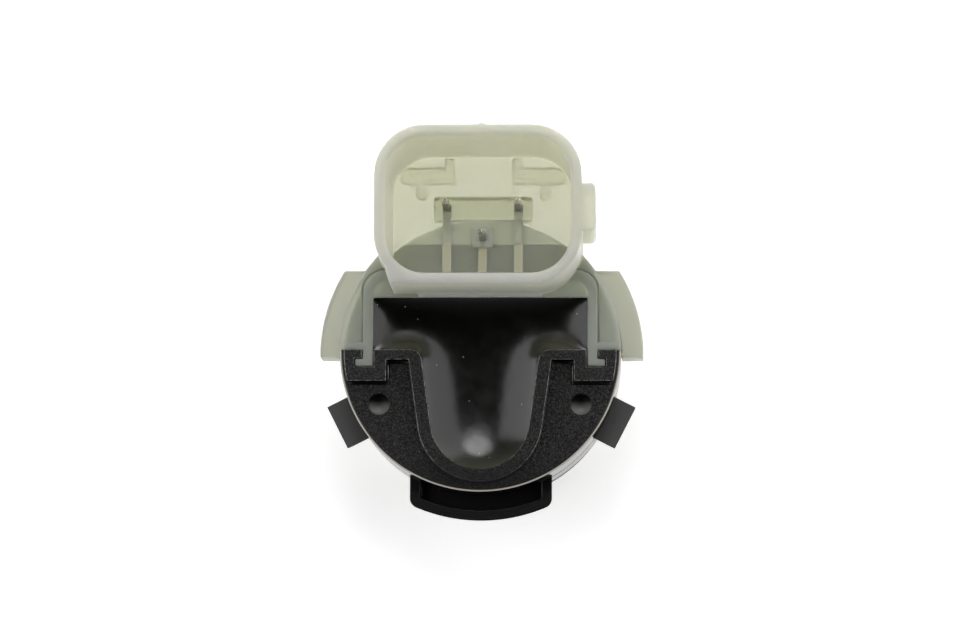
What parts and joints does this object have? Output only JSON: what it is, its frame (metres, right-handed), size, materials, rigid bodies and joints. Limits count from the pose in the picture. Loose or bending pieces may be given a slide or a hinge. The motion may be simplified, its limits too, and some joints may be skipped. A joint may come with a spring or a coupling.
{
  "type": "parking sensor",
  "caption": "Round ultrasonic parking sensor with a black lugged housing, a potted rear well and an offset translucent plug socket with contact pins.",
  "frame": {"origin": "centre of the front face of the diaphragm cup", "axes": "+Z along the body axis to the rear, +Y towards the plug socket, +X to the right seen from the rear"},
  "size_m": [0.0326, 0.0385, 0.028],
  "materials": {
    "housing_black": "fine spark texture on the rear, smooth sides",
    "natural_plastic": "translucent, satin",
    "tinned_contact": "tin plated",
    "potting": "glossy cast resin",
    "silicone": "matt",
    "cup_aluminium": "turned, satin",
    "piezo": "silvered ceramic",
    "damper": "foamed",
    "lead_insulation": "satin",
    "board": "solder resist",
    "chip_black": "matt",
    "ferrite": "matt",
    "copper_wire": "enamelled",
    "capacitor_case": "satin",
    "chip_ceramic": "matt",
    "solder": "bright"
  },
  "bodies": {
    "root": {"housing": "housing_black", "connector_body": "natural_plastic", "pin_left": "tinned_contact", "pin_right": "tinned_contact", "pin_centre": "tinned_contact", "potting_compound": "potting", "decoupling_ring": "silicone", "diaphragm_cup": "cup_aluminium", "piezo_disc": "piezo", "damping_pad": "damper", "signal_lead": "lead_insulation", "ground_lead": "lead_insulation", "circuit_board": "board", "control_chip": "chip_black", "transformer_core": "ferrite", "transformer_winding": "copper_wire", "storage_capacitor": "capacitor_case", "chip_capacitors": "chip_ceramic", "chip_resistors": "chip_black", "solder_joints": "solder"}
  },
  "joints": []
}
